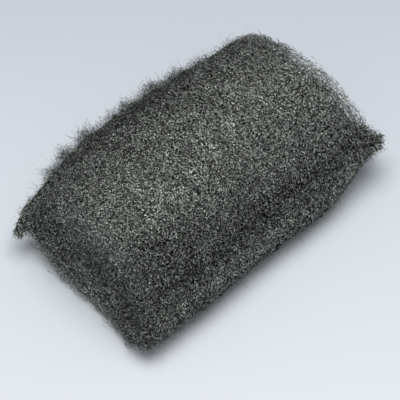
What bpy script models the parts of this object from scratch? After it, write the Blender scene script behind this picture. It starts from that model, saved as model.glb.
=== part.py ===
"""Steel wool pad: one batt of fine steel wool, wound into a roll and pressed to a pillow.

Units are metres and +Z is up. The roll's axis runs along X. The free end of the batt is the
lap on the front (-Y) side, and the pad lies on its flat underside at Z = 0.
"""

import math

import bpy
import numpy as np

# Size of the pressed pad at mid-length and mid-width
PAD_LENGTH = 0.112
PAD_WIDTH = 0.0645
PAD_HEIGHT = 0.0380

# How the batt is wound
TURNS = 2.86
TURN_GAP = 0.0004
CORE_OPENING = 0.0012        # height of the slot left at the middle of the roll
CORE_REACH = 0.10            # share of the half width over which it is pressed this low
LAP_ANGLE = 192.0            # degrees from +Y, over the top, to the free end on the front
FLAT_PRESS = 0.0011          # the underside is pressed flat by this much
FEATHER_LENGTH = 0.0180      # the free end and the wound-in end thin out over this
FEATHER_SHARE = 0.60         # of the batt's thickness left before the end is rounded off
EDGE_ROUNDING = 0.0032       # width of the rounding at the torn edges of the batt
EDGE_SHARE = 0.42            # of the thickness left at the very edge
LAP_CORNER = 0.0060          # radius of the batt's corners at its free end

# How far the layers stand back from the full length at the two ends of the roll
CROWN_FROM = 0.20            # share of the height where the crown's set-back begins
CROWN_SET_BACK_LEFT = 0.0055
CROWN_SET_BACK_RIGHT = 0.0036
CORE_SET_BACK = 0.0070
RAGGED_EDGE = 0.0010         # wander of the torn side edges, in and out
RAGGED_WAVES = ((3.0, 1.1, 0.45), (7.0, 2.3, 0.30), (11.0, 0.7, 0.25))

# Ends of the pad: share of the height lost there, and the level they are squeezed towards
END_SQUEEZE = 0.25
END_SQUEEZE_POWER = 5        # how late along the pad the squeeze sets in
END_SQUEEZE_LEVEL = 0.0080

# Corners: side along X, side along Y, outward pull, squeeze, level squeezed towards
BACK_LEFT = (-1, 1, -0.0014, 0.28, 0.0150)
FRONT_RIGHT = (1, -1, -0.0008, 0.46, 0.0225)
BACK_RIGHT = (1, 1, 0.0054, 0.32, 0.0100)
FRONT_LEFT = (-1, -1, 0.0034, 0.10, 0.0040)
CORNER_FROM_X = 0.50         # share of the half length where a corner's shape begins
CORNER_FROM_Y = 0.08         # and of the half width
CORNER_PULL_ASIDE = 0.35     # of the outward pull, taken across the pad as well

# Tufts drawn out of two corners
TUFT_PULL_LEFT = 0.0042
TUFT_PULL_RIGHT = 0.0026
TUFT_SPREAD = 0.0085

# Matted tufts that stand up along the back rim: place along X and height
BACK_TUFTS = (
    (-0.0390, 0.0024), (-0.0295, 0.0030), (-0.0205, 0.0014), (-0.0090, 0.0013), (0.0020, 0.0026),
    (0.0135, 0.0020), (0.0230, 0.0014), (0.0345, 0.0008), (0.0470, 0.0014),
)
BACK_TUFT_SPREAD = 0.0036    # along the rim
BACK_TUFT_RISE = 0.0054      # and up and down it
RIM_SLOPE = 40.0             # degrees above +Y that the rim and its tufts face
RIM_FROM_MIDDLE = 0.0330     # from the roll's axis to the rim, at mid-length
RIM_LEVEL = 0.0290

# Broad forms of the crown and the sides
SLUMP = 0.0026               # the soft roll sags by this at half its height
FRONT_SPREAD = 0.0150        # the front side leans out by this from its top to its foot
BACK_SPREAD = 0.0040         # and the back side by this
BACK_BULGE = 0.0056          # the long sides swell by this at mid-length
FRONT_BULGE = 0.0026
BACK_FULLNESS = 3.2          # 2 is a round bulge, and more is fuller towards the ends
FRONT_FULLNESS = 2.0
VALLEY_DEPTH = 0.0034        # the long valley between the crown and the back rim
VALLEY_PLACE = 0.0255        # behind the roll's axis
VALLEY_WIDTH = 0.0040
VALLEY_UNEVEN = 0.35         # share of its depth that comes and goes along the pad
VALLEY_SHIFT = 2.1           # of the places where it is deepest
VALLEY_FROM = 0.35           # share of the height above which it sinks
WANDER_HEIGHT = 0.0007       # low unevenness all over
WANDER_LENGTH = 0.0095       # of its waves along the pad
WANDER_WIDTH = 0.0110        # and across it
LONG_WAVE = 0.7              # share of the longer, slanting waves among them
LONG_WAVE_TURNS = (0.5, 0.9)  # their waves to one of the short, along the pad and across it
CROWN_SHIFT = (0.9, 0.4)     # of the crown's waves, along the pad and across it
SIDE_SHIFT = 2.0             # and of those in the long sides
LOCK_HEIGHT = 0.00055        # locks of matted wool on the crown
LOCK_LENGTH = 0.0150         # from one lock to the next, along the pad
LOCK_WIDTH = 0.0125          # and across it
LOCK_SLANT = 1.3             # how far each row of locks is shifted from its neighbour
LOCK_SIDE_SHARE = 0.5        # of their height that the locks of the long sides have
TOP_FROM, TOP_TO = 0.15, 0.60  # shares of the height between which the crown's forms set in
SIDE_FROM = 0.30             # share of the half width where those of the long sides do

# The batt passes over or under the core at 90 degrees, 270 degrees and so on
LAST_PASS = 90.0 + 180.0 * math.floor((LAP_ANGLE + 360.0 * TURNS - 90.0) / 180.0)
LAYERS = round(LAST_PASS / 180.0 - 0.5) - math.floor((LAP_ANGLE - 90.0) / 180.0)
PRESSED_LAYERS = PAD_HEIGHT + FLAT_PRESS - CORE_OPENING
BATT_THICKNESS = (PRESSED_LAYERS - (LAYERS - 2) * TURN_GAP) / LAYERS
PITCH = BATT_THICKNESS + TURN_GAP
INNER_OFFSET = BATT_THICKNESS / 2 + TURN_GAP
OUTER_OFFSET = INNER_OFFSET + PITCH * TURNS

# Mesh spacing
PATH_SAMPLES = 4000          # points on the winding curve that the rows are read from
STATIONS = 30                # cross-sections along the pad
STATION_CROWDING = 0.2       # how much closer together they lie towards the two ends
ROW_OUTER = 0.0038           # spacing of the rows on the flats of the outer turn
ROW_INNER = 0.0140           # and of the turns inside it
ROW_CHANGE = 0.25            # share of a turn over which it widens from one to the other
ROW_BEND = 27.0              # degrees that a bend may turn between two rows
END_ROWS = (-2.0, 3.0)       # edge roundings from the free end between which rows spread out

STEEL_GREY = (0.075, 0.079, 0.075, 1.0)
SHARP_EDGE = 50.0            # degrees between two faces that are shaded as an edge


def smoothstep(low, high, value):
    """0 below low, 1 above high, and a smooth rise between them."""
    share = np.clip((value - low) / (high - low), 0.0, 1.0)
    return share * share * (3.0 - 2.0 * share)


def rounded_off(distance):
    """Share of the batt's thickness at this distance from a torn edge."""
    return EDGE_SHARE + (1.0 - EDGE_SHARE) * smoothstep(0.0, EDGE_ROUNDING, distance)


def feathered(distance):
    """Share of the batt's thickness at this distance from its free or wound-in end."""
    thinned = smoothstep(0.0, FEATHER_LENGTH, distance)
    return FEATHER_SHARE + (1.0 - FEATHER_SHARE) * thinned


def offset_at(degrees):
    """Distance of the batt's middle from the core where it faces this way."""
    return OUTER_OFFSET - PITCH * (degrees - LAP_ANGLE) / 360.0


def core_level():
    """Height of the roll's axis as it is wound, before it is pressed."""
    return CORE_OPENING / 2 + offset_at(270.0) + BATT_THICKNESS / 2 - FLAT_PRESS


def winding_path():
    """The middle line of the wound batt across the roll, from the free end inwards.

    Each turn is a parallel curve round a flat elliptical core. Returns the angle that each
    point faces, its Y and Z, and its distance along the batt.
    """
    back_reach = offset_at(360.0) + BATT_THICKNESS / 2
    lap_reach = OUTER_OFFSET + BATT_THICKNESS * (FEATHER_SHARE - 0.5)
    front_reach = lap_reach * abs(math.cos(math.radians(max(LAP_ANGLE, 180.0))))
    core_half_width = (PAD_WIDTH - back_reach - front_reach) / 2
    core_half_height = CORE_OPENING / 2

    degrees = LAP_ANGLE + 360.0 * np.linspace(0.0, TURNS, PATH_SAMPLES)
    facing = np.radians(degrees)
    from_free_end = (facing - facing[0]) * OUTER_OFFSET
    lost = 1.0 - feathered(from_free_end) * rounded_off(from_free_end)
    offset = offset_at(degrees) - lost * BATT_THICKNESS / 2
    across, up = np.cos(facing), np.sin(facing)
    spread = np.hypot(core_half_width * across, core_half_height * up)
    y = core_half_width**2 * across / spread + offset * across
    z = core_half_height**2 * up / spread + offset * up + core_level()
    along = np.concatenate(([0.0], np.cumsum(np.hypot(np.diff(y), np.diff(z)))))
    return facing, y, z, along


def rows_along(facing, along):
    """Places along the batt for the rows of the sheet.

    They lie closest together at the rounded free end, at the bends and on the outer turn.
    """
    inward = smoothstep(1.0, 1.0 + ROW_CHANGE, (facing - facing[0]) / math.tau)
    spacing = ROW_OUTER + (ROW_INNER - ROW_OUTER) * inward
    spacing *= smoothstep(*END_ROWS, along / EDGE_ROUNDING)
    bends = np.diff(facing) / math.radians(ROW_BEND)
    count = np.concatenate(([0.0], np.cumsum(np.diff(along) / spacing[1:] + bends)))
    return np.interp(np.linspace(0.0, count[-1], int(round(count[-1])) + 1), count, along)


def station_shares():
    """Places of the cross-sections from -1 to 1, closer together towards the two ends."""
    even = np.linspace(-1.0, 1.0, STATIONS)
    return even * (1.0 + STATION_CROWDING * (1.0 - even**2))


def torn_edge(facing, side):
    """Wander of a torn side edge round the roll, from -1 to 1."""
    return sum(
        share * np.sin(waves * facing + shift * side) for waves, shift, share in RAGGED_WAVES
    )


def wind_batt():
    """A flat sheet of wool, rolled up from its far end."""
    facing, path_y, path_z, along = winding_path()
    rows, shares = rows_along(facing, along), station_shares()
    last_row, last_station = len(rows) - 1, len(shares) - 1
    bpy.ops.mesh.primitive_grid_add(
        x_subdivisions=last_station, y_subdivisions=last_row, size=1.0
    )
    sheet = bpy.context.object
    flat = vertices_of(sheet.data)
    share = shares[np.rint((flat[:, 0] + 0.5) * last_station).astype(int)]
    place = rows[np.rint((flat[:, 1] + 0.5) * last_row).astype(int)]

    y, z = np.interp(place, along, path_y), np.interp(place, along, path_z)
    side, depth = np.sign(share), place / along[-1]
    crown = smoothstep(CROWN_FROM, 1.0, z / PAD_HEIGHT) * (1.0 - depth)
    crown_set_back = np.where(side < 0, CROWN_SET_BACK_LEFT, CROWN_SET_BACK_RIGHT)
    corner = LAP_CORNER * (1.0 - smoothstep(-LAP_CORNER, LAP_CORNER, place)) * 2
    set_back = crown_set_back * crown + CORE_SET_BACK * depth + corner
    wander = RAGGED_EDGE * torn_edge(np.interp(place, along, facing), side) * share**2
    x = share * (PAD_LENGTH / 2 - set_back) + side * wander
    set_vertices(sheet.data, np.stack((x, y, z), axis=1))

    from_side = (1.0 - np.abs(share)) * PAD_LENGTH / 2
    from_end = np.minimum(place, along[-1] - place)
    left = rounded_off(from_side) * rounded_off(from_end) * feathered(from_end)
    group = sheet.vertex_groups.new(name="thickness left")
    for index, weight in enumerate(left):
        group.add([index], float(weight), "REPLACE")
    return sheet


def thicken(sheet):
    """The wound sheet as a solid batt, thinner at its torn edges and feathered ends."""
    solidify = sheet.modifiers.new("batt thickness", "SOLIDIFY")
    solidify.thickness = BATT_THICKNESS
    solidify.offset = 0.0
    solidify.vertex_group = "thickness left"
    solidify.thickness_vertex_group = 0.0
    depsgraph = bpy.context.evaluated_depsgraph_get()
    mesh = bpy.data.meshes.new_from_object(sheet.evaluated_get(depsgraph))
    bpy.data.objects.remove(sheet)
    return mesh


def close_core(x, y, z):
    """The wide slot that winding leaves at the core is pressed nearly shut.

    Over the core the slot alone gives way, and towards the long sides the whole roll does.
    """
    faces = [offset_at(LAST_PASS), offset_at(LAST_PASS - 180.0)]
    over, under = faces if LAST_PASS % 360.0 == 90.0 else reversed(faces)
    floor = core_level() - CORE_OPENING / 2 - (under - BATT_THICKNESS / 2)
    closing = over + under - BATT_THICKNESS
    in_slot = np.clip((z - floor) / (closing + CORE_OPENING), 0.0, 1.0)
    in_roll = np.clip((z + FLAT_PRESS) / (PAD_HEIGHT + FLAT_PRESS + closing), 0.0, 1.0)
    aside = smoothstep(CORE_REACH, 1.0, np.abs(y) / (PAD_WIDTH / 2))
    return x, y, z - closing * (in_slot + (in_roll - in_slot) * aside)


def squeeze_ends(x, y, z):
    """Both ends of the roll are lower than its middle."""
    squeeze = END_SQUEEZE * np.abs(x / (PAD_LENGTH / 2)) ** END_SQUEEZE_POWER
    return x, y, END_SQUEEZE_LEVEL + (z - END_SQUEEZE_LEVEL) * (1.0 - squeeze)


def slump(x, y, z):
    """The roll's middle sinks under its own softness, and its long sides spread at the foot."""
    level = z / PAD_HEIGHT
    to_side = smoothstep(0.0, 1.0, np.abs(y) / (PAD_WIDTH / 2))
    lean = np.where(y < 0, -FRONT_SPREAD, BACK_SPREAD) * (0.5 - level)
    return x, y + lean * to_side, z - 4.0 * SLUMP * level * (1.0 - level)


def sink_valley(x, y, z):
    """A valley of uneven depth along the back of the crown leaves a rim behind it."""
    uneven = VALLEY_UNEVEN * (1.0 - np.sin(VALLEY_SHIFT + x / WANDER_LENGTH))
    depth = VALLEY_DEPTH * (1.0 - uneven)
    across = np.exp(-(((y - VALLEY_PLACE) / VALLEY_WIDTH) ** 2))
    return x, y, z - depth * across * smoothstep(VALLEY_FROM, 1.0, z / PAD_HEIGHT)


def swell(x, fullness):
    """Share of a long side's bulge at this place along the pad."""
    return 1.0 - np.abs(x / (PAD_LENGTH / 2)) ** fullness


def swell_sides(x, y, z):
    """The long sides bulge at mid-length, the back one more than the front."""
    back = BACK_BULGE * smoothstep(0.0, PAD_WIDTH / 2, y)
    front = FRONT_BULGE * smoothstep(0.0, PAD_WIDTH / 2, -y)
    return x, y + back * swell(x, BACK_FULLNESS) - front * swell(x, FRONT_FULLNESS), z


def shape_corner(x, y, z, side_x, side_y, pull, squeeze, level):
    """A corner is squeezed towards one level and pulled outwards."""
    weight = smoothstep(CORNER_FROM_X, 1.0, side_x * x / (PAD_LENGTH / 2))
    weight = weight * smoothstep(CORNER_FROM_Y, 1.0, side_y * y / (PAD_WIDTH / 2))
    z = level + (z - level) * (1.0 - squeeze * weight)
    x = x + side_x * pull * weight
    return x, y + side_y * CORNER_PULL_ASIDE * pull * weight, z


def draw_tuft(x, y, z, side_x, side_y, level, pull):
    """A tuft of wool is drawn out of a corner, along the diagonal."""
    tip_x, tip_y = side_x * PAD_LENGTH / 2, side_y * PAD_WIDTH / 2
    away = (x - tip_x) ** 2 + (y - tip_y) ** 2 + (z - level) ** 2
    pull = pull * np.exp(-away / TUFT_SPREAD**2)
    return x + side_x * pull, y + side_y * CORNER_PULL_ASIDE * pull, z


def raise_back_tufts(x, y, z):
    """Tufts of uneven height stand up along the back rim."""
    facing = math.radians(RIM_SLOPE)
    rim_y = RIM_FROM_MIDDLE + BACK_BULGE * swell(x, BACK_FULLNESS) / 2
    off_rim = ((y - rim_y) ** 2 + (z - RIM_LEVEL) ** 2) / BACK_TUFT_RISE**2
    for place, height in BACK_TUFTS:
        raised = height * np.exp(-(((x - place) / BACK_TUFT_SPREAD) ** 2) - off_rim)
        y, z = y + raised * math.cos(facing), z + raised * math.sin(facing)
    return x, y, z


def roughen(x, y, z):
    """Low waves and locks of matted wool over the crown and the two sides."""
    along, across = x / WANDER_LENGTH, y / WANDER_WIDTH
    waves = np.sin(along + CROWN_SHIFT[0]) * np.sin(across + CROWN_SHIFT[1])
    turns_along, turns_across = LONG_WAVE_TURNS
    waves = waves + LONG_WAVE * np.sin(turns_along * along + turns_across * across)
    row = math.tau * (y + z) / LOCK_WIDTH
    locks = np.sin(math.tau * x / LOCK_LENGTH + LOCK_SLANT * np.sin(row / 2)) * np.sin(row)
    locks = LOCK_HEIGHT * locks
    side = WANDER_HEIGHT * np.sin(along + SIDE_SHIFT) + LOCK_SIDE_SHARE * locks * np.sign(y)
    top = WANDER_HEIGHT * waves + locks
    to_side = smoothstep(SIDE_FROM, 1.0, np.abs(y) / (PAD_WIDTH / 2))
    to_top = smoothstep(TOP_FROM, TOP_TO, z / PAD_HEIGHT)
    return x, y + side * to_side, z + top * to_top


def press(mesh):
    """Presses the wound roll into its pillow shape. Every step keeps the turns in order."""
    points = squeeze_ends(*close_core(*vertices_of(mesh).T))
    points = swell_sides(*sink_valley(*slump(*points)))
    for corner in (BACK_LEFT, FRONT_RIGHT, BACK_RIGHT, FRONT_LEFT):
        points = shape_corner(*points, *corner)
    for corner, pull in ((BACK_LEFT, TUFT_PULL_LEFT), (FRONT_RIGHT, TUFT_PULL_RIGHT)):
        side_x, side_y, _, _, level = corner
        points = draw_tuft(*points, side_x, side_y, level, pull)
    x, y, z = raise_back_tufts(*roughen(*points))
    x = x - (x.max() + x.min()) / 2
    y = y - (y.max() + y.min()) / 2
    set_vertices(mesh, np.stack((x, y, np.maximum(z, 0.0)), axis=1))


def vertices_of(mesh):
    """The mesh's points as rows of X, Y and Z."""
    points = np.empty(len(mesh.vertices) * 3)
    mesh.vertices.foreach_get("co", points)
    return points.reshape(-1, 3)


def set_vertices(mesh, points):
    """Moves the mesh's points to these places."""
    mesh.vertices.foreach_set("co", points.ravel())
    mesh.update()


def steel_wool():
    """Fine bare steel, dark because light is lost between the strands."""
    material = bpy.data.materials.new("steel_wool")
    material.use_nodes = True
    shader = material.node_tree.nodes["Principled BSDF"]
    shader.inputs["Base Color"].default_value = STEEL_GREY
    shader.inputs["Metallic"].default_value = 0.6
    shader.inputs["Roughness"].default_value = 0.45
    material.diffuse_color = STEEL_GREY
    return material


def build():
    """Winds, thickens and presses the one batt that the pad is made of."""
    for item in list(bpy.data.objects):
        bpy.data.objects.remove(item)
    collection = bpy.data.collections.new("steel_wool_pad")
    bpy.context.scene.collection.children.link(collection)
    mesh = thicken(wind_batt())
    mesh.name = "steel_wool_pad"
    press(mesh)
    mesh.shade_smooth()
    mesh.set_sharp_from_angle(angle=math.radians(SHARP_EDGE))
    mesh.materials.clear()
    mesh.materials.append(steel_wool())
    collection.objects.link(bpy.data.objects.new("steel_wool_pad", mesh))


build()
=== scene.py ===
import math

import bpy
import numpy as np
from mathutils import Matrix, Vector
from mathutils.bvhtree import BVHTree


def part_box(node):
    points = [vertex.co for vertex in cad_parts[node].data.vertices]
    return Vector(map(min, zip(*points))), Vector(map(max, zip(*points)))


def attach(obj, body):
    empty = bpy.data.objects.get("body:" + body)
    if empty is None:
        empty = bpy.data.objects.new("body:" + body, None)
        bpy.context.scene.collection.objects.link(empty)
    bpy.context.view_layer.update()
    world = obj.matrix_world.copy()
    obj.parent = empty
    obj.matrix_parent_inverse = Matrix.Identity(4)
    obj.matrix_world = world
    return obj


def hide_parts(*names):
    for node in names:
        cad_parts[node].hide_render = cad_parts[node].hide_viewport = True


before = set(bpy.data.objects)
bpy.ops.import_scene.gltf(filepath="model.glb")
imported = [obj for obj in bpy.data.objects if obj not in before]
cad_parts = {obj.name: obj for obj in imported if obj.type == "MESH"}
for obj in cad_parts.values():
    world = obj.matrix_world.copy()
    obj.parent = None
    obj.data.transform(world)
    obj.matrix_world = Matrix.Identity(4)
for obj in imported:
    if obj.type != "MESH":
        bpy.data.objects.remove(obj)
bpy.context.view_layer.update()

# The camera looks down on the pad from the front left, as in the photograph. The lens is long,
# so that the two long sides stay nearly parallel.
CAMERA_TURN = math.radians(-44.77)
CAMERA_RISE = math.radians(51.32)
CAMERA_DISTANCE = 0.75
PICTURE_WIDTH = 400.0        # in pixels
PIXELS_PER_METRE = 2855.0    # at the pad
SLIDE_RIGHT = 0.0001         # from the pad's middle to the middle of the picture
SLIDE_DOWN = 0.0079
AIM_LEVEL = 0.015

away = Vector((
    math.sin(CAMERA_TURN) * math.cos(CAMERA_RISE),
    -math.cos(CAMERA_TURN) * math.cos(CAMERA_RISE),
    math.sin(CAMERA_RISE),
))
camera_right = Vector((math.cos(CAMERA_TURN), math.sin(CAMERA_TURN), 0.0))
camera_up = away.cross(camera_right)
aim = Vector((0.0, 0.0, AIM_LEVEL)) + SLIDE_RIGHT * camera_right - SLIDE_DOWN * camera_up
camera = bpy.data.objects.new("camera", bpy.data.cameras.new("camera"))
bpy.context.scene.collection.objects.link(camera)
bpy.context.scene.camera = camera
camera.location = aim + CAMERA_DISTANCE * away
camera.rotation_euler = away.to_track_quat("Z", "Y").to_euler()
camera.data.sensor_width = 36.0
camera.data.lens = PIXELS_PER_METRE * CAMERA_DISTANCE * camera.data.sensor_width / PICTURE_WIDTH
camera.data.clip_start = 0.05
camera.data.clip_end = 20.0


# The wound batt: one band of fine steel wool, rolled up flat and pressed to a pillow. It holds
# together by its own strands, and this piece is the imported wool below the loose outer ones.
class Value:
    """A socket of a material, with Python's arithmetic written as Math nodes."""

    def __init__(self, made, socket):
        self.made, self.socket = made, socket

    def math(self, operation, *others):
        return self.made.node(
            "ShaderNodeMath", {"operation": operation}, {0: self, **dict(enumerate(others, 1))}
        )

    def __add__(self, other):
        return self.math("ADD", other)

    def __sub__(self, other):
        return self.math("SUBTRACT", other)

    def __mul__(self, other):
        return self.math("MULTIPLY", other)

    def __truediv__(self, other):
        return self.math("DIVIDE", other)

    def __pow__(self, other):
        return self.math("POWER", other)

    def __rsub__(self, other):
        return self.made.node("ShaderNodeMath", {"operation": "SUBTRACT"}, {0: other, 1: self})

    __radd__ = __add__
    __rmul__ = __mul__


class Finish:
    """A material made from nodes."""

    def __init__(self, name):
        self.material = bpy.data.materials.new(name)
        self.material.use_nodes = True
        self.tree = self.material.node_tree
        self.tree.nodes.clear()

    def node(self, kind, settings=None, sockets=None, output=0):
        """Adds a node with these settings and inputs, and gives one of its outputs."""
        made = self.tree.nodes.new(kind)
        for key, value in (settings or {}).items():
            if key == "stops":
                ramp = made.color_ramp.elements
                while len(ramp) < len(value):
                    ramp.new(0.5)
                for element, (place, colour) in zip(ramp, value):
                    element.position, element.color = place, colour
            else:
                setattr(made, key, value)
        for key, value in (sockets or {}).items():
            if isinstance(value, Value):
                self.tree.links.new(value.socket, made.inputs[key])
            else:
                made.inputs[key].default_value = value
        return Value(self, made.outputs[output] if made.outputs else None)

    def attribute(self, name):
        """A number that the mesh holds at its points or faces."""
        return self.node("ShaderNodeAttribute", {"attribute_name": name}, {}, output=2)

    def cells(self, places, size):
        """Two random numbers for each cell of about this size."""
        shade = self.node("ShaderNodeTexVoronoi", {}, {"Vector": places, "Scale": 1 / size}, output=1)
        red = self.node("ShaderNodeSeparateColor", {}, {0: shade})
        green = Value(self, red.socket.node.outputs[1])
        return red, green

    def steel_tone(self, share, middle, spread, pale):
        """Greys of steel wool: half are darker than the middle one, and a few are painted glints."""
        share = share * 0.97 + 0.01
        grey = (share / (1.0 - share)) ** spread * pale * middle
        grey = grey.math("MINIMUM", 0.95)
        return self.node("ShaderNodeCombineColor", {}, {0: grey, 1: grey * 1.055, 2: grey * 0.98})

    def surface(self, **sockets):
        """Closes the material with one surface shader."""
        named = {key.replace("_", " "): value for key, value in sockets.items()}
        shader = self.node("ShaderNodeBsdfPrincipled", {}, named)
        self.node("ShaderNodeOutputMaterial", {}, {"Surface": shader})
        return self.material


CORE_HALF_WIDTH = 0.0134     # the roll is wound round a flat core of this half width
low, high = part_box("steel_wool_pad")
core_level = (low.z + high.z) / 2


def numbers(collection, field, width, kind=np.float64):
    """One field of a mesh's points or faces as an array."""
    found = np.empty(len(collection) * width, kind)
    collection.foreach_get(field, found)
    return found.reshape(-1, width)


def unit(vectors):
    """The same directions at length 1."""
    return vectors / np.maximum(np.linalg.norm(vectors, axis=-1, keepdims=True), 1e-12)


def rise(low, high, value):
    """0 at low, 1 at high, and an even rise between them."""
    return np.clip((value - low) / (high - low), 0.0, 1.0)


def bell(value, middle, reach):
    """1 in the middle, and a smooth fall to 0 on both sides of it."""
    return np.exp(-(((value - middle) / reach) ** 2))


def from_core(points):
    """Direction out of the roll's flat core, across the roll."""
    out = points * (0.0, 1.0, 1.0)
    out[:, 1] -= np.clip(points[:, 1], -CORE_HALF_WIDTH, CORE_HALF_WIDTH)
    out[:, 2] -= core_level
    return out


def painted_light_and_shade(points):
    """Painted light and shade on the wool at these points, where the crown is about 1.

    It multiplies the wool's colour. Painted shade darkens it where the roll turns down to the
    front, in the crease over the lap, in the valley behind the crown, in the hollow at the left
    end and on the back. Painted light makes it paler along the lap's free edge, on the crown's
    left part and at the loose ends.
    """
    x, y, z = points[..., 0], points[..., 1], points[..., 2]
    shoulder = -0.0205 + 0.0095 * rise(-0.008, -0.042, x)
    front = rise(0.0, 0.008, shoulder - y) * (1.0 - 0.15 * rise(0.010, 0.040, x))
    lap = rise(-0.029, -0.033, y) * bell(z, 0.0145, 0.0030) * (1.0 - 0.5 * rise(-0.010, 0.020, x))
    crease = rise(-0.024, -0.028, y) * bell(z, 0.0205, 0.0030)
    valley = bell(y + 0.25 * x, 0.0247, 0.0035) * bell(x, -0.011, 0.028)
    hollow = rise(-0.044, -0.049, x) * bell(y, -0.004, 0.009) * bell(z, 0.013, 0.006)
    back = rise(0.002, 0.018, y)
    left_crown = rise(-0.018, -0.040, x) * (1.0 - front)
    left_end = rise(-0.046, -0.053, x)
    right_end = rise(0.040, 0.058, x) ** 2
    pale = 1.08 - 0.52 * front + 0.50 * lap - 0.25 * crease - 0.5 * valley
    pale = pale * (1.0 - 0.4 * hollow) * (1.0 - 0.42 * back) * (1.0 + 0.28 * left_crown)
    return pale * (1.0 + 0.2 * left_end + 0.4 * right_end)


def applied(thing, kind, **settings):
    """Gives a piece one modifier and applies it."""
    bpy.context.view_layer.objects.active = thing
    modifier = thing.modifiers.new(kind.lower(), kind)
    for key, value in settings.items():
        setattr(modifier, key, value)
    bpy.ops.object.modifier_apply(modifier=modifier.name)


def lumps(name, size, depth):
    """Uneven forms of about this size, for a Displace modifier."""
    cloud = bpy.data.textures.new(name, "CLOUDS")
    cloud.noise_scale = size
    cloud.noise_depth = depth
    return cloud


def skin(thing):
    """Points, area and facing of a piece's triangles, and a tree to find them by."""
    thing.data.calc_loop_triangles()
    corners = numbers(thing.data.loop_triangles, "vertices", 3, np.int32)
    triangle = numbers(thing.data.vertices, "co", 3)[corners]
    across = np.cross(triangle[:, 1] - triangle[:, 0], triangle[:, 2] - triangle[:, 0])
    tree = BVHTree.FromObject(thing, bpy.context.evaluated_depsgraph_get())
    return triangle, np.linalg.norm(across, axis=1) / 2, unit(across), tree


RAY_START = 0.0002           # rays begin this far off a face, so that they miss it


def in_the_open(tree, places, facing, reach=0.020):
    """True where nothing of the batt lies in front of a face within this reach."""
    starts = (places + facing * RAY_START).tolist()
    rays = zip(starts, facing.tolist())
    return np.array([tree.ray_cast(start, way, reach)[0] is None for start, way in rays])


SAME_PLACE = 0.00001         # points nearer than this are one
QUAD_ANGLE = math.radians(60)
batt =bpy.data.objects.new("wound_batt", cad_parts["steel_wool_pad"].data.copy())
bpy.context.scene.collection.objects.link(batt)
bpy.ops.object.select_all(action="DESELECT")
batt.select_set(True)
bpy.context.view_layer.objects.active = batt
bpy.ops.object.mode_set(mode="EDIT")
bpy.ops.mesh.select_all(action="SELECT")
bpy.ops.mesh.remove_doubles(threshold=SAME_PLACE)
bpy.ops.mesh.tris_convert_to_quads(face_threshold=QUAD_ANGLE, shape_threshold=QUAD_ANGLE)
bpy.ops.object.mode_set(mode="OBJECT")

# a second copy becomes the surface that the outer strands follow
wrap = bpy.data.objects.new("wrap", batt.data.copy())
bpy.context.scene.collection.objects.link(wrap)

# the batt's own surface is uneven where it lies open, and plain between the turns
applied(batt, "SUBSURF", levels=1, render_levels=1)
tree = skin(batt)[3]
normals = numbers(batt.data.vertices, "normal", 3)
outside = batt.vertex_groups.new(name="outside")
clear = in_the_open(tree, numbers(batt.data.vertices, "co", 3), normals)
outside.add(np.flatnonzero(clear).tolist(), 1.0, "REPLACE")
for name, size, height in (("tufts", 0.0045, 0.00045), ("bundles", 0.0016, 0.0001)):
    applied(
        batt, "DISPLACE", texture=lumps(name, size, 2), texture_coords="LOCAL",
        vertex_group="outside", strength=height, mid_level=0.6,
    )
points = numbers(batt.data.vertices, "co", 3)
points[:, 2] = np.maximum(points[:, 2], 0.0)
batt.data.vertices.foreach_set("co", points.ravel())
batt.data.update()
batt.data.shade_smooth()

# where a point lies round the roll, along it and out from its core, for the grain
out = from_core(points)
round_roll = np.arctan2(out[:, 2], out[:, 1]) * core_level - np.clip(
    points[:, 1], -CORE_HALF_WIDTH, CORE_HALF_WIDTH
)
combed = batt.data.attributes.new("combed", "FLOAT_VECTOR", "POINT")
combed.data.foreach_set(
    "vector", np.stack((round_roll, points[:, 0], np.linalg.norm(out, axis=1)), axis=1).ravel()
)
# painted light and shade by place, kept at the batt's points and multiplied into its colour
pale = batt.data.attributes.new("pale", "FLOAT", "POINT")
pale.data.foreach_set("value", painted_light_and_shade(points).astype(np.float32))

packed = Finish("packed_steel_wool")
way = packed.node("ShaderNodeAttribute", {"attribute_name": "combed"}, {}, output=1)
wave = packed.node("ShaderNodeTexNoise", {}, {"Vector": way, "Scale": 260.0, "Detail": 1.0}, output=1)
wavy = packed.node(
    "ShaderNodeVectorMath", {"operation": "MULTIPLY_ADD"}, {0: wave, 1: (0.0016, 0.0016, 0.0), 2: way}
)


def short_strands(lean, length):
    """Two random numbers for each piece of a strand that leans this way in the batt."""
    leaning = packed.node("ShaderNodeMapping", {}, {"Vector": wavy, "Rotation": (0.0, 0.0, lean)})
    drawn = packed.node(
        "ShaderNodeVectorMath", {"operation": "DIVIDE"}, {0: leaning, 1: (length, 1.0, 1.0)}
    )
    return packed.cells(drawn, size=0.00024)


upper, on_top = short_strands(lean=0.32, length=1.9)
lower, _ = short_strands(lean=-0.38, length=1.7)
# random tone of the short strands, with painted glints on the light ones and painted shade between
# them; the same numbers raise the bump
grain_and_painted_glints = lower + on_top.math("GREATER_THAN", 0.5) * (upper - lower)
packed_tone = packed.steel_tone(grain_and_painted_glints, middle=0.028, spread=1.6, pale=packed.attribute("pale"))
bump = packed.node("ShaderNodeBump", {}, {"Strength": 0.6, "Distance": 0.0003, "Height": grain_and_painted_glints})
batt.data.materials.clear()
batt.data.materials.append(
    packed.surface(
        Base_Color=packed_tone, Metallic=0.2, Roughness=0.5, Specular_IOR_Level=0.0, Normal=bump
    )
)
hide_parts("steel_wool_pad")
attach(batt, "root")


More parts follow.
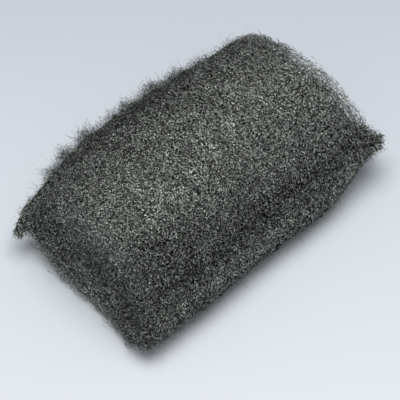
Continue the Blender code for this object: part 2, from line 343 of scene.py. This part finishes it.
# The outer strands: shaved steel ribbons finer than hair, combed and matted, that run round the
# roll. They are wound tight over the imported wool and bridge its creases, in a coat that is less
# than a millimetre deep.
bpy.ops.object.select_all(action="DESELECT")
wrap.select_set(True)
BRIDGED = 0.0010             # creases narrower than twice this are bridged
applied(wrap, "DISPLACE", strength=BRIDGED, mid_level=0.0)
applied(wrap, "REMESH", mode="VOXEL", voxel_size=0.0011)
applied(wrap, "SMOOTH", factor=0.6, iterations=12)
applied(wrap, "DISPLACE", strength=-BRIDGED, mid_level=0.0)
applied(
    wrap, "DISPLACE", texture=lumps("locks", 0.006, 1), texture_coords="LOCAL",
    strength=0.0005, mid_level=0.5,
)
wrap_skin = skin(wrap)
batt_skin = skin(batt)
bpy.data.objects.remove(wrap)

wool = np.random.default_rng(20)
STRAND_TAPER = 0.25          # width at a strand's ends, as a share of its middle
OFF_TABLE = 0.00005          # the strands at the foot stay this far above the table


def comb(points, normals):
    """The way the wool runs at these points: round the roll, along its surface."""
    out = from_core(points)
    way = unit(np.stack((np.zeros(len(out)), -out[:, 2], out[:, 1]), axis=1))
    way = way - normals * (way * normals).sum(axis=1, keepdims=True)
    return unit(way + (1e-6, 0.0, 0.0))


def nearest(tree, places):
    """Nearest points of a skin, and the way it faces there."""
    found = [tree.find_nearest(place) for place in places.tolist()]
    return np.array([f[0] for f in found]), np.array([f[1] for f in found])


def roots(part, share, count):
    """Places spread evenly over a skin by area times share, and the way it faces there."""
    triangle, area, facing, tree = part
    heaped = np.cumsum(area * share)
    picked = np.searchsorted(heaped, (np.arange(count) + wool.random(count)) / count * heaped[-1])
    inside = wool.dirichlet((1.0, 1.0, 1.0), count)[:, :, None]
    return (triangle[picked] * inside).sum(axis=1), facing[picked]


def walk(tree, here, up, steps, step, stray, wander):
    """Strands that wander over a skin from their roots, as points and the skin's facing."""
    turn = wool.normal(0.0, stray, len(here))
    sense = wool.choice((-1.0, 1.0), len(here))[:, None]
    track, faced = [here], [up]
    for _ in range(steps):
        ahead = comb(here, up) * sense
        aside = np.cross(up, ahead)
        turn = turn * 0.92 + wool.normal(0.0, wander, len(here))
        here = here + step * (ahead * np.cos(turn)[:, None] + aside * np.sin(turn)[:, None])
        here, up = nearest(tree, here)
        track.append(here)
        faced.append(up)
    return np.stack(track, axis=1), np.stack(faced, axis=1)


def finer(track, parts):
    """The same lines with every step cut in this many."""
    place = np.linspace(0.0, track.shape[1] - 1.0, (track.shape[1] - 1) * parts + 1)
    before = np.minimum(place.astype(int), track.shape[1] - 2)
    share = (place - before)[:, None]
    return track[:, before] * (1.0 - share) + track[:, before + 1] * share


def free_run(here, ahead, steps, step, curl, wander):
    """Strands that leave their roots in these directions and curl freely in the air."""
    axis = unit(wool.normal(size=here.shape))
    bend = wool.normal(0.0, curl, (len(here), 1))
    track = [here]
    ahead = unit(ahead)
    for _ in range(steps):
        ahead = unit(ahead + bend * np.cross(axis, ahead) + wool.normal(0.0, wander, here.shape))
        here = here + step * ahead
        track.append(here)
    return np.stack(track, axis=1)


def ribbons(name, line, half_width, pale=1.0):
    """A mesh of narrow kinked ribbons, each a strip of flat facets along its own line."""
    count, length = line.shape[:2]
    ahead = unit(np.gradient(line, axis=1))
    aside = unit(np.cross(ahead, unit(wool.normal(size=(count, 1, 3)))))
    twist = wool.normal(0.0, 0.8, (count, length, 1)).cumsum(axis=1)
    side = aside * np.cos(twist) + np.cross(ahead, aside) * np.sin(twist)
    taper = STRAND_TAPER + (1.0 - STRAND_TAPER) * np.sin(np.linspace(0.0, math.pi, length))
    width = half_width * wool.uniform(0.6, 1.3, (count, 1)) * taper * (-1.0) ** np.arange(length)
    points = (line + side * width[..., None]).reshape(-1, 3)
    points[:, 2] = np.maximum(points[:, 2], OFF_TABLE)
    facets = np.arange(length - 2)
    first = np.arange(count)[:, None] * length + facets
    odd = facets % 2
    faces = np.stack((first, first + 1 + odd, first + 2 - odd), axis=-1)
    mesh =bpy.data.meshes.new(name)
    mesh.vertices.add(len(points))
    mesh.vertices.foreach_set("co", points.ravel())
    mesh.loops.add(faces.size)
    mesh.loops.foreach_set("vertex_index", faces.ravel().astype(np.int32))
    mesh.polygons.add(faces.size // 3)
    mesh.polygons.foreach_set("loop_start", np.arange(0, faces.size, 3, dtype=np.int32))
    mesh.update(calc_edges=True)

    # painted glints: the facets of a kinked strand turn to the light and away from it, one after
    # the other, so their colours are painted light and dark in turn
    turned = (-1.0) ** facets * wool.random((count, length - 2)) ** 0.5
    own = 0.25 * wool.random((count, 1)) + 0.375 * (1.0 + turned)
    # painted light and shade by place, times this piece's own factor of tone
    light = painted_light_and_shade(line[:, 1:-1]) * pale
    for key, share in (("glint", own), ("pale", light)):
        held = mesh.attributes.new(key, "FLOAT", "FACE")
        held.data.foreach_set("value", share.ravel().astype(np.float32))
    mesh.materials.append(strand_steel)
    piece = bpy.data.objects.new(name, mesh)
    bpy.context.scene.collection.objects.link(piece)
    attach(piece, "root")


shaved = Finish("shaved_steel_strand")
spot = shaved.node("ShaderNodeTexCoord", {}, {}, output=3)
grain, _ = shaved.cells(spot, size=0.00034)
# painted glints of the facets, mixed with small cells of painted glint
glint = shaved.attribute("glint") * 0.6 + grain * 0.4
strand_tone = shaved.steel_tone(glint, middle=0.022, spread=3.9, pale=shaved.attribute("pale"))
strand_steel = shaved.surface(
    Base_Color=strand_tone, Metallic=0.25, Roughness=0.5, Specular_IOR_Level=0.0
)

# the coats are left off the open ends and kept thin where the pad rests
triangle, area, facing, tree = wrap_skin
middle = triangle.mean(axis=1)
END_FROM = 0.045             # the roll's ends lie further than this from its middle
at_end = (np.abs(facing[:, 0]) > 0.75) & (np.abs(middle[:, 0]) > END_FROM)
underneath = (facing[:, 2] < -0.5) & (middle[:, 2] < 0.004)
coat_share = np.where(at_end, 0.0, np.where(underneath, 0.08, 1.0))
for coat in range(3):
    here, up = roots(wrap_skin, coat_share, count=11000)
    line, up = walk(tree, here, up, steps=8, step=0.0012, stray=0.20, wander=0.10)
    line, up = finer(line, 2), unit(finer(up, 2))
    height = wool.exponential(0.00013, (len(line), 1)) + wool.normal(0.0, 0.00006, line.shape[:2])
    line = line + up * (height - 0.0001)[..., None] + wool.normal(0.0, 0.00007, line.shape)
    ribbons("loose_strands_%d" % (coat + 1), line, half_width=0.00004)


# The ends of the roll: the strands of shaved steel at the torn edges of the turns. They lie
# along each turn, matted loosely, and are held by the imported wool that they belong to.
triangle, area, facing, tree = batt_skin
middle = triangle.mean(axis=1)
at_end = (np.abs(facing[:, 0]) > 0.5) & (np.abs(middle[:, 0]) > END_FROM)
end_share = at_end * in_the_open(tree, middle, facing)
here, up = roots(batt_skin, end_share, count=5000)
line, up = walk(tree, here, up, steps=6, step=0.0011, stray=0.45, wander=0.20)
line, up = finer(line, 3), unit(finer(up, 3))
height = wool.exponential(0.0003, (len(line), 1)) + wool.normal(0.0, 0.00012, line.shape[:2])
line = line + up * height[..., None] + wool.normal(0.0, 0.00008, line.shape)
ribbons("end_strands", line, half_width=0.00004)


# The loose turns: strands that slipped out past the ends of the roll and still run round it. At
# the right end they stand off as a pale haze that thins outward.
triangle, area, facing, tree = wrap_skin
middle = triangle.mean(axis=1)
left_rim = rise(-0.046, -0.056, middle[:, 0])
right_rim = rise(0.044, 0.056, middle[:, 0])
above = np.where(facing[:, 2] < -0.6, 0.1, 1.0)
rim_share = (0.4 * left_rim + right_rim * np.where(facing[:, 0] > 0.85, 0.15, 1.0)) * above
here, up = roots(wrap_skin, rim_share, count=12000)
line, up = walk(tree, here, up, steps=6, step=0.0011, stray=0.30, wander=0.12)
line, up = finer(line, 2), unit(finer(up, 2))
FARTHEST_SLIP = 0.0060       # at the right end; at the left one the turns are tighter
slip = np.sign(line[..., :1]) * (FARTHEST_SLIP, 0.0, 0.0) * wool.random((len(line), 1, 1)) ** 1.5
lift = up * wool.exponential(0.0004, (len(line), 1, 1))
line = line + slip * np.where(line[..., :1] > 0.0, 1.0, 0.45) + lift
line = line + wool.normal(0.0, 0.00014, line.shape).cumsum(axis=1)
ribbons("loose_turns", line, half_width=0.00003, pale=1.2)


# The torn ends: loose ends of strands that stand out past the rims of the roll, where the batt
# was pulled off its reel and not cut.
here, up = roots(wrap_skin, (left_rim + 0.7 * right_rim) * above, count=4000)
past_end = np.sign(here[:, :1]) * (1.0, 0.0, 0.0)
stray = wool.normal(0.0, 0.6, here.shape)
ahead = past_end + up * wool.uniform(0.0, 0.7, (len(here), 1)) + stray
line = free_run(here, ahead, steps=14, step=0.00036, curl=0.16, wander=0.25)
ribbons("torn_ends", line, half_width=0.000034, pale=1.15)


# The fuzz: loops and ends of strands that stand off the wound surface all over the pad. The
# rest of each strand is matted into the coat below.
fuzz_share = np.where(underneath, 0.02, 1.0)
here, up = roots(wrap_skin, fuzz_share, count=4000)
along = comb(here, up) * wool.choice((-1.0, 1.0), (len(here), 1))
stray = wool.normal(0.0, 0.35, here.shape)
ahead = along + up * wool.exponential(0.35, (len(here), 1)) + stray
line = free_run(here, ahead, steps=17, step=0.00032, curl=0.16, wander=0.25)
ribbons("fuzz", line, half_width=0.000032, pale=1.1)


# The tufts: matted curls that the winding left standing along the upper back edge, one beside
# the next, dark and thin enough to see through.
RIM_FACING = (0.0, math.cos(math.radians(36)), math.sin(math.radians(36)))
TUFT_HEIGHT = 0.0032
TUFTS = (
    # place along the roll, half length and share of the full height
    (-0.0395, 0.0018, 1.0), (-0.0315, 0.0022, 1.2), (-0.0215, 0.0019, 1.2), (-0.0095, 0.0020, 0.5),
    (-0.0010, 0.0025, 0.9), (0.0095, 0.0021, 1.1), (0.0200, 0.0019, 0.9), (0.0320, 0.0024, 0.4),
    (0.0450, 0.0026, 0.1),
)


def tufted(x):
    """Height of the tufts at these places along the roll, as a share of the full height."""
    return sum(share * bell(x, place, reach) for place, reach, share in TUFTS)


rim = rise(0.80, 0.96, facing @ np.array(RIM_FACING)) * (middle[:, 1] > 0.024)
here, up = roots(wrap_skin, rim * (0.20 + tufted(middle[:, 0])), count=4600)
here = here + up * (TUFT_HEIGHT * tufted(here[:, 0]) * wool.random(len(here)))[:, None]
ahead = up * 0.3 + wool.normal(0.0, 0.8, here.shape)
line = free_run(here, ahead, steps=15, step=0.00032, curl=0.42, wander=0.25)
ribbons("back_tufts", line, half_width=0.000036, pale=0.55)


# The frayed corners: the left back one is drawn out to a hooked ear and the right front one to
# a blunt tuft. The other two are only rough.
MILLIMETRE = 0.001
CORNERS = (
    # the way out to the corner, then in millimetres how far its wisp is drawn out, the hook at
    # its end, its spread and how far round the corner it begins, and its number of strands
    ((-0.70, 0.72, 0.00), (-5.5, -0.5, -0.5), (-0.5, -1.5, -2.0), 0.3, 5.0, 900),
    ((0.72, -0.70, 0.00), (0.8, 0.2, 0.8), (-0.4, 0.0, -1.8), 1.3, 6.0, 1300),
    ((0.72, 0.68, 0.20), (0.4, 0.4, 0.0), (0.0, 0.0, 0.0), 0.8, 5.0, 100),
    ((-0.70, -0.70, -0.20), (-0.6, -0.6, -0.3), (0.0, 0.0, 0.0), 0.8, 4.0, 200),
)
wrap_points = wrap_skin[0].reshape(-1, 3)
along = np.linspace(0.0, 1.0, 15)[:, None]
corner_lines = []
for way, drawn, hook, spread, reach, count in CORNERS:
    tip = wrap_points[np.argmax(wrap_points @ np.array(way))]
    near = bell(np.linalg.norm(middle - tip, axis=1), 0.0, reach * MILLIMETRE)
    here = roots(wrap_skin, near, count)[0][:, None]
    far = wool.random((count, 1, 1)) ** 0.7
    drawn = np.array(drawn) * MILLIMETRE * far
    hook = np.array(hook) * MILLIMETRE * far**2
    end = tip + drawn + hook + wool.normal(0.0, spread * MILLIMETRE, here.shape)
    bend = tip + 0.4 * drawn
    line = here * (1 - along) ** 2 + bend * 2 * along * (1 - along) + end * along**2
    corner_lines.append(line + wool.normal(0.0, 0.00022, line.shape).cumsum(axis=1))
ribbons("frayed_corners", np.concatenate(corner_lines), half_width=0.000035, pale=0.95)


# The stray hairs: single long strands that stand off the back edge and the two ends, where
# handling pulled them out of the batt.
hair_share = (rim + left_rim + right_rim) * above
here, up = roots(wrap_skin, hair_share, count=110)
ahead = up + wool.normal(0.0, 0.5, here.shape)
line = free_run(here, ahead, steps=22, step=0.00042, curl=0.07, wander=0.08)
ribbons("stray_hairs", line, half_width=0.00003, pale=0.9)


# The table and the light: a pale surface with painted light, lighter near the camera and darker
# further back, under one large soft lamp overhead, with the light of a white room round it.
bpy.ops.object.select_all(action="DESELECT")
bpy.ops.mesh.primitive_plane_add(size=4.0, location=(0.0, 0.0, 0.0))
table = bpy.context.object
table.name = "table"
paper = Finish("pale_table")
spot = paper.node("ShaderNodeTexCoord", {}, {}, output=3)
across_table = paper.node("ShaderNodeSeparateXYZ", {}, {0: spot}, output=0)
back_table = paper.node("ShaderNodeSeparateXYZ", {}, {0: spot}, output=1)
TABLE_SPAN = 0.14            # from the middle of the picture to its upper and lower edges
nearer = across_table * math.sin(CAMERA_TURN) - back_table * math.cos(CAMERA_TURN)
TABLE_PAINTED_FALLOFF = (
    # how near a place is, and its colour, which holds the painted falloff of light
    (0.0, (0.48, 0.505, 0.56, 1.0)),
    (0.45, (0.63, 0.67, 0.715, 1.0)),
    (1.0, (0.80, 0.825, 0.865, 1.0)),
)
table_painted_falloff = paper.node(
    "ShaderNodeValToRGB", {"stops": TABLE_PAINTED_FALLOFF}, {0: nearer * (0.5 / TABLE_SPAN) + 0.5}
)
table.data.materials.append(paper.surface(Base_Color=table_painted_falloff, Metallic=0.0, Roughness=0.8))

world = bpy.data.worlds.new("room")
bpy.context.scene.world = world
world.use_nodes = True
room_light = world.node_tree.nodes["Background"]
room_light.inputs["Color"].default_value = (0.96, 0.98, 1.0, 1.0)
room_light.inputs["Strength"].default_value = 0.40

LAMP_SIDE = 0.70
LAMP_WATTS = 6.3
LAMP_PLACE = (0.05, 0.03, 0.85)
lamp = bpy.data.objects.new("overhead lamp", bpy.data.lights.new("overhead lamp", "AREA"))
bpy.context.scene.collection.objects.link(lamp)
lamp.data.shape = "SQUARE"
lamp.data.size = LAMP_SIDE
lamp.data.energy = LAMP_WATTS
lamp.location = LAMP_PLACE
lamp.rotation_euler = lamp.location.to_track_quat("Z", "Y").to_euler()

bpy.context.scene.view_settings.view_transform = "Standard"
